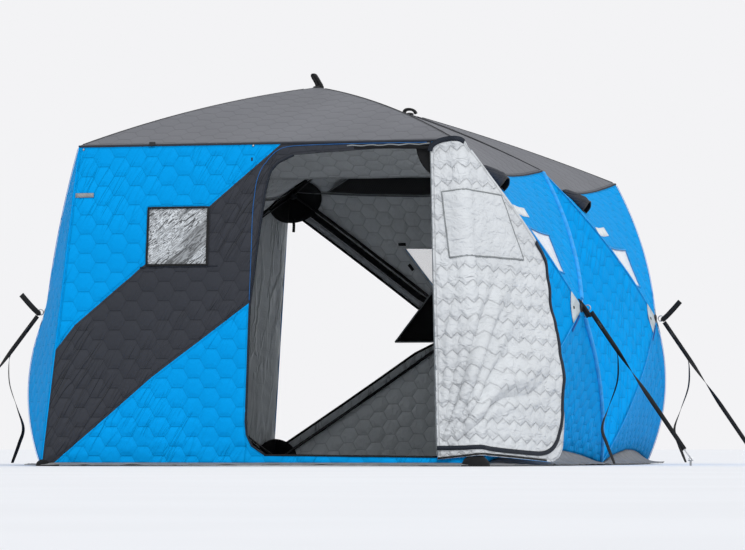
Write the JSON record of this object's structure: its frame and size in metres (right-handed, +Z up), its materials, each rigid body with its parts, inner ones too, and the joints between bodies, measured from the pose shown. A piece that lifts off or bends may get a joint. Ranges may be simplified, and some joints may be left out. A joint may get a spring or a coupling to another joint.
{
  "type": "ice fishing hut",
  "caption": "Pop-up two-room ice fishing hut: quilted fabric walls and roofs pulled out on bowed hub poles, with an open front door flap, windows, vents and tie-down straps.",
  "frame": {"origin": "on the ice, at the middle of the box that holds the hut with its tie-down straps and snow skirts", "axes": "+Z up, -Y towards the front wall with the door, +X to the right of someone facing that wall"},
  "size_m": [4.478, 5.68, 2.166],
  "materials": {
    "blue_fabric": "matt quilted polyester",
    "dark_fabric": "matt quilted polyester",
    "silver_lining": "soft satin quilted lining",
    "clear_vinyl": "crinkled clear vinyl",
    "black_webbing": "woven webbing",
    "fibreglass_pole": "satin fibreglass",
    "black_plastic": "moulded",
    "black_rubber": "moulded",
    "plated_steel": "zinc plated",
    "reflective_patch": "reflective cloth",
    "skirt_fabric": "plain woven polyester",
    "black_mesh": "fine mesh"
  },
  "bodies": {
    "hut": {"front_wall_upper_panel": "blue_fabric", "front_wall_lower_panel": "blue_fabric", "front_door_sill": "blue_fabric", "front_door_margin": "blue_fabric", "right_front_wall": "blue_fabric", "right_back_wall": "blue_fabric", "left_front_wall": "blue_fabric", "left_back_wall": "blue_fabric", "back_wall": "blue_fabric", "front_wall_diagonal_band": "dark_fabric", "front_door_header": "dark_fabric", "front_roof": "dark_fabric", "back_roof": "dark_fabric", "vent_hoods": "dark_fabric", "back_door_leaf": "silver_lining", "front_window": "clear_vinyl", "side_windows": "clear_vinyl", "front_window_binding": "black_webbing", "roof_pull_loops": "black_webbing", "hub_pull_tabs": "black_webbing", "tie_down_straps": "black_webbing", "right_front_wall_poles": "fibreglass_pole", "right_back_wall_poles": "fibreglass_pole", "left_front_wall_poles": "fibreglass_pole", "left_back_wall_poles": "fibreglass_pole", "back_wall_poles": "fibreglass_pole", "front_roof_poles": "fibreglass_pole", "back_roof_poles": "fibreglass_pole", "wall_hubs": "black_plastic", "roof_hubs": "black_plastic", "eave_corner_sockets": "black_plastic", "strap_buckles": "black_plastic", "pole_boots": "black_rubber", "hub_pull_rings": "plated_steel", "strap_hooks": "plated_steel", "ice_anchors": "plated_steel", "hub_patches": "reflective_patch", "snow_skirts": "skirt_fabric", "overhead_mesh": "black_mesh", "back_hub_panel": "black_mesh"},
    "door_strip": {"front_door_strip": "silver_lining"},
    "door_leaf": {"front_door_leaf": "silver_lining", "front_door_window_cover": "silver_lining"},
    "door_top_corner": {"front_door_top_corner": "silver_lining"}
  },
  "joints": [
    {"name": "front_door_hinge", "type": "hinge", "parent": "hut", "child": "door_strip", "pos_m": [1.088, -2.70643, 0.06745], "axis": [-0.0441, 0.0982, 0.9942], "range_deg": [-180, 0]},
    {"name": "front_door_wrap_fold", "type": "hinge", "parent": "door_strip", "child": "door_leaf", "pos_m": [1.33111, -2.71737, 0.06853], "axis": [-0.0888, 0.0979, 0.9912], "range_deg": [-68, 0]},
    {"name": "front_door_corner_fold", "type": "hinge", "parent": "door_leaf", "child": "door_top_corner", "pos_m": [1.52341, -1.85183, 1.13003], "axis": [-0.3515, -0.681, 0.6423], "range_deg": [-180, 0]}
  ],
  "couplings": [
    {"joint": "front_door_wrap_fold", "follows": "front_door_hinge", "ratio": 0.37778},
    {"joint": "front_door_corner_fold", "follows": "front_door_hinge", "ratio": 1}
  ]
}
